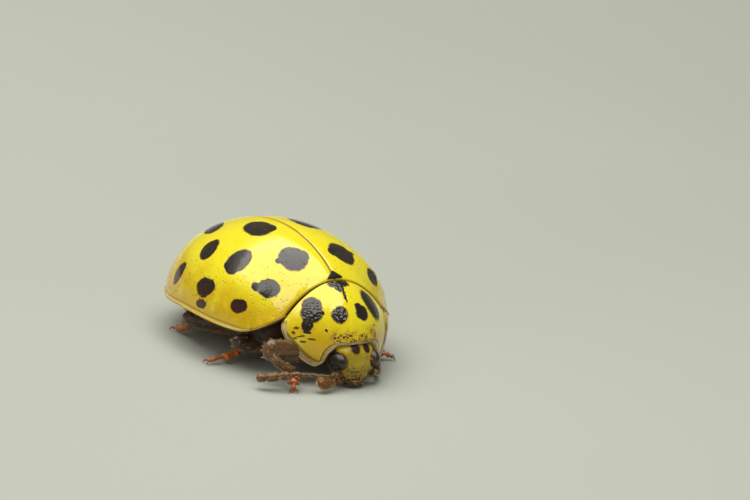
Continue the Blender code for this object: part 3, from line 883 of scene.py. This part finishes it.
# %% Grow a foot and its claws
def grow_foot(bm, knee, ankle, foot):
    """Two lobed pads and the claw joint. Returns where the claw joint begins."""
    first = ankle.lerp(foot, 0.34)
    second = ankle.lerp(foot, 0.62)
    first.z = ankle.z + (foot.z - ankle.z) * 0.42
    second.z = foot.z + (ankle.z - foot.z) * 0.26
    pad = rounded_profile([(0, 0.034, 0.036), (0.75, 0.094, 0.050), (1, 0.088, 0.036)], 0.16)
    bed("limb", tube(bm, [ankle.lerp(knee, 0.05), ankle.lerp(first, 0.6), first], pad, 14, 10), 30, 0.055, 0.3)
    bed("limb", tube(bm, [first.lerp(ankle, 0.25), first.lerp(second, 0.5), second], pad, 14, 10), 30, 0.050, 0.3)
    claw_joint = rounded_profile([(0, 0.022, 0.022), (0.8, 0.036, 0.036), (1, 0.034, 0.032)], 0.14)
    claw_path = [second.lerp(first, 0.3), second.lerp(foot, 0.5) + Vector((0, 0, 0.02)), foot]
    bed("limb", tube(bm, claw_path, claw_joint, 12, 10), 14, 0.050, 0.4)
    return second


def grow_claws(second, foot):
    """Two hooks on the floor in front of the foot, splayed to both sides."""
    ahead = foot - second
    ahead.z = 0
    ahead.normalize()
    across = Vector((-ahead.y, ahead.x, 0))
    hook = rounded_profile([(0, 0.018, 0.018), (0.5, 0.013, 0.014), (1, 0.004, 0.004)], 0.12)
    for side in (1, -1):
        root = foot + across * (side * 0.012)
        over = root + ahead * 0.045 + across * (side * 0.035) + Vector((0, 0, 0.012))
        tip = root + ahead * 0.075 + across * (side * 0.050)
        tip.z = CLAW_TIP + 0.005
        tube(claws, [root, over, tip], hook, 8, 8)


# %% Build the legs
def build_leg(label, hip, knee, ankle, toe):
    hip, knee, ankle = Vector(hip), Vector(knee), Vector(ankle)
    foot = Vector((toe[0], toe[1], CLAW_TIP + 0.045))
    thigh = THIGH[label.split("_")[0]]
    bm = bmesh.new()
    coxa = hip + (hip - knee).normalized() * 0.04
    tube(bm, [coxa + Vector((0, 0, 0.10)), coxa - Vector((0, 0, 0.02))],
         rounded_profile([(0, 0.12, 0.12), (1, 0.12, 0.12)], 0.5), 14, 8, Vector((0, 1, 0)))
    arch = hip.lerp(knee, 0.5) + Vector((0, 0, 0.015))
    femur = rounded_profile([(0, 0.07, 0.08), (0.55, thigh * 0.72, thigh), (1, thigh * 0.66, thigh * 0.92)], 0.16)
    bed("limb", tube(bm, [hip, arch, knee], femur, 18, 22), 120, 0.052, 0.70, 0.40)
    bend = knee.lerp(ankle, 0.5) + (knee - hip).normalized() * 0.03
    start = knee.lerp(hip, 0.10)
    shank = rounded_profile([(0, 0.052, 0.056), (0.3, 0.050, 0.060), (1, 0.068, 0.074)], 0.10)
    bed("limb", tube(bm, [start, bend, ankle], shank, 14, 16), 80, 0.048, 0.55)
    grow_claws(grow_foot(bm, knee, ankle, foot), foot)
    nodes = [f"leg_{label}_{part}" for part in ("femur", "tibia", "tarsus")]
    finish = FRONT_LEG_FINISH if label.startswith("front") else LEG_FINISH
    place_piece(bm, "limb_" + label, finish, nodes)


for label, joints in LEGS.items():
    build_leg(label, *joints)
place_piece(claws, "claws", CLAW_FINISH)

# %% [markdown]
# ## The feelers
# Each antenna has eleven joints: a stout first one, a thread of small ones, and a club of
# three at the end. The pinched waists between the joints are part of one tube's profile.

# %% Build the feelers
FEELERS = {
    "right": [(-0.24, -2.02, -0.340), (-0.38, -2.07, -0.345), (-0.54, -2.05, -0.340), (-0.74, -1.985, -0.325),
              (-0.92, -1.92, -0.315), (-1.08, -1.86, -0.335), (-1.23, -1.755, -0.375), (-1.37, -1.64, -0.405)],
    "left": [(0.23, -2.00, -0.375), (0.34, -2.00, -0.405), (0.45, -1.92, -0.425), (0.53, -1.81, -0.435),
             (0.60, -1.68, -0.440), (0.66, -1.55, -0.445), (0.72, -1.42, -0.445), (0.78, -1.29, -0.445)],
}
FEELER_JOINTS = [    # where each joint ends, as a share of the length, and its half width
    (0.12, 0.046), (0.20, 0.037), (0.28, 0.026), (0.36, 0.024), (0.43, 0.024), (0.50, 0.025),
    (0.57, 0.028), (0.64, 0.034), (0.76, 0.056), (0.89, 0.072), (1.00, 0.064),
]


def feeler_profile(t):
    start = 0.0
    for end, wide in FEELER_JOINTS:
        if t <= end:
            break
        start = end
    share = (t - start) / (end - start)
    waist = 0.50 + 0.50 * math.sqrt(max(0.0, 1 - abs(2 * share - 1) ** 3))
    if t > 0.97:
        waist *= math.sqrt(max(0.0, 1 - ((t - 0.97) / 0.03) ** 2)) * 0.9 + 0.1
    if t < 0.02:
        waist *= 0.5
    return wide * waist, wide * waist * 0.92


for label, points in FEELERS.items():
    bm = bmesh.new()
    bed("face", tube(bm, points, feeler_profile, 14, 110), 230, 0.052, 0.7)
    place_piece(bm, "feeler_" + label, FEELER_FINISH, ["antenna_" + label, "antenna_club_" + label])

# %% [markdown]
# ## The mouth
# Below the face hang the upper lip, the lower lip with its two feelers, and a pair of
# palps. A ladybird's palp ends in a broad axe-shaped joint, a good mark of the family.

# %% Build the mouth
bm = bmesh.new()
lip = rounded_profile([(0, 0.05, 0.030), (0.5, 0.070, 0.045), (1, 0.05, 0.030)], 0.25)
lip_path = [(-0.15, -2.005, -0.455), (0.0, -2.055, -0.468), (0.15, -2.005, -0.455)]
bed("face", tube(bm, lip_path, lip, 14, 18), 40, 0.05, 0.5)
chin = rounded_profile([(0, 0.14, 0.04), (1, 0.10, 0.045)], 0.3)
tube(bm, [(0.0, -1.70, -0.470), (0.0, -1.98, -0.490)], chin, 16, 12)
thin_joint = rounded_profile([(0, 0.028, 0.026), (0.7, 0.046, 0.040), (1, 0.044, 0.036)], 0.2)
axe = rounded_profile([(0, 0.052, 0.034), (0.55, 0.082, 0.050), (1, 0.086, 0.044)], 0.20)
PALPS = [    # root, first joint, second joint, tip: the left one is tucked under the face
    [(-0.17, -1.98, -0.420), (-0.27, -2.06, -0.425), (-0.37, -2.09, -0.425), (-0.66, -2.09, -0.425)],
    [(0.12, -1.96, -0.450), (0.15, -1.98, -0.465), (0.17, -1.95, -0.470), (0.20, -1.82, -0.470)],
]
for joints in PALPS:
    root, one, two, end = [Vector(joint) for joint in joints]
    side = math.copysign(1, root.x)
    bed("face", tube(bm, [root, one], thin_joint, 12, 8), 16, 0.045, 0.5)
    bed("face", tube(bm, [one, two], thin_joint, 12, 8), 16, 0.045, 0.5)
    bed("face", tube(bm, [two, two.lerp(end, 0.5), end], axe, 16, 14, Vector((0.0, -0.8, 0.6))), 420, 0.055, 0.50)
    feeler_root = Vector((side * 0.06, -1.99, -0.50))
    tube(bm, [feeler_root, feeler_root + Vector((side * 0.04, -0.07, -0.010))], thin_joint, 10, 8)
place_piece(bm, "mouthparts", MOUTH_FINISH, ["labrum"])

# %% [markdown]
# ## The body underneath
# One skin covers the breast and the belly. It is a ball drawn out along the body: flat
# below, hidden in the wing cases above, and creased across where one ring of the belly
# laps over the next.

# %% Finish and build the body
BODY_FRONT = -1.62
BODY_REAR = 1.80
CREASES = (-1.27, -0.62, -0.28, 0.08, 0.44, 0.78, 1.08, 1.34, 1.55)


def body_shape(way):
    share = (way.y + 1) / 2
    y = BODY_FRONT + (BODY_REAR - BODY_FRONT) * share
    taper = math.sqrt(max(0.0, 1 - abs(way.y) ** 3.2))
    waist = 0.60 + 0.40 * ease(-1.42, -1.10, y)
    half = 1.10 * taper * waist * (1 - 0.30 * ease(0.2, 1.8, y))
    round_part = math.hypot(way.x, way.z)
    side, lift = (way.x / round_part, way.z / round_part) if round_part > 1e-6 else (0.0, 1.0)
    crease = sum(math.exp(-((y - line) / 0.020) ** 2) for line in CREASES)
    depth = (0.33 - 0.012 * crease) * taper * (1 - 0.25 * ease(0.6, 1.7, y))
    height = 0.42 if lift > 0 else depth
    z = -0.02 + math.copysign(abs(lift) ** 0.75, lift) * height * (taper if lift > 0 else 1.0)
    return Vector((math.copysign(abs(side) ** 0.85, side) * half * (1 - 0.006 * crease), y, z))


def body_finish():
    finish = Finish("belly_brown", Roughness=0.45, Specular_IOR_Level=0.25, Coat_Weight=0.12, Coat_Roughness=0.25)
    place = finish.place()
    x, y, z = finish.parts(place)
    tone = finish.noise(place, 3.0, 4.0).rise(0.3, 0.7)
    colour = finish.mix(tone, (0.014, 0.008, 0.005), (0.036, 0.018, 0.010))
    side = x.math("ABSOLUTE").rise(0.55, 1.0) * y.rise(-0.3, 0.4)
    colour = finish.mix(side * 0.7, colour, (0.230, 0.110, 0.030))
    pits = finish.cells(place, 13.0).rise(0.34, 0.18)
    finish.feed("Base Color", finish.mix(pits * 0.7, colour, (0.008, 0.005, 0.004)))
    finish.feed("Normal", finish.bump(finish.noise(place, 24.0, 4.0) * 0.6 - pits, 0.012))
    return finish


BODY_TURN = Matrix.Rotation(math.radians(90), 3, "X")
bm = bent_ball(72, 110, lambda way: body_shape(BODY_TURN @ way))
place_piece(bm, "body_skin", body_finish(), ["prothorax", "thorax", "abdomen"])

# %% [markdown]
# ## The bristles
# Short golden bristles stand on the legs, the feelers, the mouth and the face, and a fine
# down lies on the belly. They are real mesh, so that they stay in the exported model: each
# is a three-sided spike, and one joined mesh holds all those of a region. Every bristle is
# a tiny patch of a UV map, at its root's place on the unrolled limb.

# %% A bristle
PATCH = 0.003                          # size of a bristle's patch on its UV map
RNG = random.Random(22)


class Bristles:
    def __init__(self):
        self.bm = bmesh.new()
        self.map = self.bm.loops.layers.uv.new("OFBake")
        self.count = 0

    def add(self, root, way, length, radius, spot):
        """Grow one bristle from root along way. spot is its place on the unrolled skin."""
        aim = way.normalized().to_track_quat("Z", "Y").to_matrix().to_4x4()
        stand = Matrix.Translation(root + way.normalized() * (length / 2 - 0.008)) @ aim
        made = bmesh.ops.create_cone(self.bm, cap_ends=True, segments=3, radius1=radius, radius2=0,
                                     depth=length, matrix=stand)["verts"]
        for vert in made:
            for loop in vert.link_loops:
                reach = (vert.co - root).length / length
                loop[self.map].uv = (spot[0] + PATCH * RNG.random(), spot[1] + PATCH * min(reach, 1.0))
        self.count += 1

    def along(self, rings, count, length, lean, skip, band):
        """Scatter bristles over a tube. band is the strip of the UV map that the tube fills."""
        for _ in range(count):
            share = skip + (0.97 - skip) * RNG.random()
            centre, ahead, side, rise, wide, high = rings[min(int(share * len(rings)), len(rings) - 1)]
            turn = 2 * math.pi * RNG.random()
            out = side * math.cos(turn) + rise * math.sin(turn)
            root = centre + side * (wide * math.cos(turn)) + rise * (high * math.sin(turn))
            way = out * (1 - lean) + ahead * lean + Vector([RNG.uniform(-0.12, 0.12) for _ in range(3)])
            size = length * RNG.uniform(0.7, 1.2)
            if (root + way.normalized() * size).z > CLAW_TIP:
                self.add(root, way, size, 0.0034, (band[0] + (band[1] - band[0]) * turn / 2 / math.pi, share * 0.98))


def bristle_finish(name, pale, deep):
    finish = Finish(name, Roughness=0.35, Coat_Weight=0.4, Coat_Roughness=0.2)
    place = finish.place()
    tone = finish.noise(place, 12.0, 3.0).rise(0.35, 0.65)
    finish.feed("Base Color", finish.mix(tone, deep, pale))
    finish.feed("Normal", finish.bump(finish.noise(place, 80.0, 2.0), 0.001, 0.5))
    return finish


# %% Bristles of the legs, face and belly
GOLDEN_HAIR = bristle_finish("golden_bristle", (0.760, 0.560, 0.240), (0.440, 0.250, 0.080))
BROWN_HAIR = bristle_finish("brown_down", (0.420, 0.300, 0.160), (0.200, 0.120, 0.060))
for group, name in (("limb", "leg_bristles"), ("face", "face_bristles")):
    bristles = Bristles()
    strips = len(beds[group]) + 1
    for index, (rings, count, length, lean, skip) in enumerate(beds[group]):
        bristles.along(rings, count, length, lean, skip, (index / strips, (index + 0.9) / strips))
    if group == "face":
        for _ in range(110):
            way = Vector((RNG.uniform(-0.75, 0.75), -1, RNG.uniform(-1.0, 0.55))).normalized()
            root = head_shape(way)
            if abs(root.x) < 0.24:
                lie = (way + Vector((0, -0.2, -0.9))).normalized()
                spot = ((index + 1 + way.x * 0.4 + 0.4) / strips, (way.z + 1) / 2)
                bristles.add(root, lie, RNG.uniform(0.035, 0.06), 0.0036, spot)
    print(group, "bristles:", bristles.count)
    place_piece(bristles.bm, name, GOLDEN_HAIR, smooth=0)

down = Bristles()
while down.count < 500:
    way = Vector((RNG.uniform(-1, 1), RNG.uniform(-0.92, 0.92), RNG.uniform(-1.0, -0.1))).normalized()
    root = body_shape(way)
    lie = Vector((0.0, 0.9, -0.35)) + Vector([RNG.uniform(-0.2, 0.2) for _ in range(3)])
    down.add(root, lie, RNG.uniform(0.05, 0.08), 0.0036, ((way.x + 1) * 0.49, (way.y + 1) * 0.49))
print("belly bristles:", down.count)
place_piece(down.bm, "belly_down", BROWN_HAIR, smooth=0)

# %% [markdown]
# ## Floor, light and camera
# The model stands on a plain pale floor. A polished shell shows its lights as clear shapes,
# so their size and place matter. Three boxes, one within the other, hang above and behind:
# their sum fades in steps at the edge, as a cloth-covered lamp does. A narrow one hangs at
# the side and one in front. A last one only fills the shadows and leaves no reflection.
# The camera looks from the front right and a little above, with a long lens.

# %% Floor and sky
bm = bmesh.new()
bmesh.ops.create_grid(bm, x_segments=8, y_segments=8, size=0.6)
mesh = bpy.data.meshes.new("floor")
bm.to_mesh(mesh)
bm.free()
floor = link_object("floor", mesh)
paper = Finish("pale_floor", Roughness=0.85)
grain = paper.noise(paper.place(), 0.05, 2.0).rise(0.3, 0.7)
paper.feed("Base Color", paper.mix(grain, (0.375, 0.392, 0.345), (0.400, 0.418, 0.370)))
mesh.materials.append(paper.material)

world = bpy.data.worlds.new("studio")
bpy.context.scene.world = world
world.use_nodes = True
sky = world.node_tree.nodes["Background"].inputs
sky["Color"].default_value = (0.95, 0.97, 0.78, 1.0)
sky["Strength"].default_value = 0.19
print("floor:", floor.name, "world:", world.name)


# %% Soft boxes
WARM = (1.0, 0.985, 0.95)


def soft_box(name, centre, target, size, brightness):
    """A rectangular lamp, in millimetres from the origin, that looks at target."""
    lamp = bpy.data.lights.new(name, "AREA")
    lamp.shape = "RECTANGLE"
    lamp.size, lamp.size_y = size[0] * MM, size[1] * MM
    lamp.energy = brightness * math.pi * lamp.size * lamp.size_y
    lamp.color = WARM
    box = link_object(name, lamp)
    box.location = ORIGIN + Vector(centre) * MM
    box.rotation_euler = (Vector(target) - Vector(centre)).to_track_quat("-Z", "Y").to_euler()
    print(name, "power in watts:", round(lamp.energy, 4))
    return box


RIGHT_EDGE, FRONT_EDGE = 24.5, -14.0   # edges that the three boxes share
for part, left, back, brightness in (("core", -38, 43, 3.4), ("middle", -47, 50, 0.8), ("outer", -57, 58, 0.4)):
    size = (RIGHT_EDGE - left, back - FRONT_EDGE)
    middle = ((RIGHT_EDGE + left) / 2, (back + FRONT_EDGE) / 2)
    soft_box("top_box_" + part, (*middle, 50.0), (*middle, 0.0), size, brightness)
soft_box("side_box", (-33.5, -17.8, 50.0), (-33.5, -17.8, 0.0), (26.0, 7.6), 3.6)
soft_box("front_box", (4.5, -25.5, 50.0), (4.5, -25.5, 0.0), (21.0, 23.0), 4.4)
fill = soft_box("fill_box", (-46.0, -34.0, 24.0), (0.0, 0.0, 0.0), (40.0, 40.0), 1.7)
fill.visible_glossy = False

# %% Camera
DISTANCE = 85.0                        # from the animal, in millimetres
LOOK = Vector((0.5542, 0.7862, -0.2735))
RIGHT = Vector((0.8280, -0.5544, 0.0842))
ABOVE = Vector((0.0855, 0.2730, 0.9582))
camera_data = bpy.data.cameras.new("camera")
camera_data.lens = 295.35
camera_data.sensor_width = 36.0
camera_data.clip_start = 0.001
camera = link_object("camera", camera_data)
eye = (RIGHT * 1.3415 + ABOVE * 0.7718 - LOOK * DISTANCE) * MM + ORIGIN
turn = Matrix((RIGHT, ABOVE, -LOOK)).transposed().to_4x4()
camera.matrix_world = Matrix.Translation(eye) @ turn
bpy.context.scene.camera = camera
bpy.context.scene.view_settings.view_transform = "Standard"
print("camera at mm:", [round(v / MM, 1) for v in eye])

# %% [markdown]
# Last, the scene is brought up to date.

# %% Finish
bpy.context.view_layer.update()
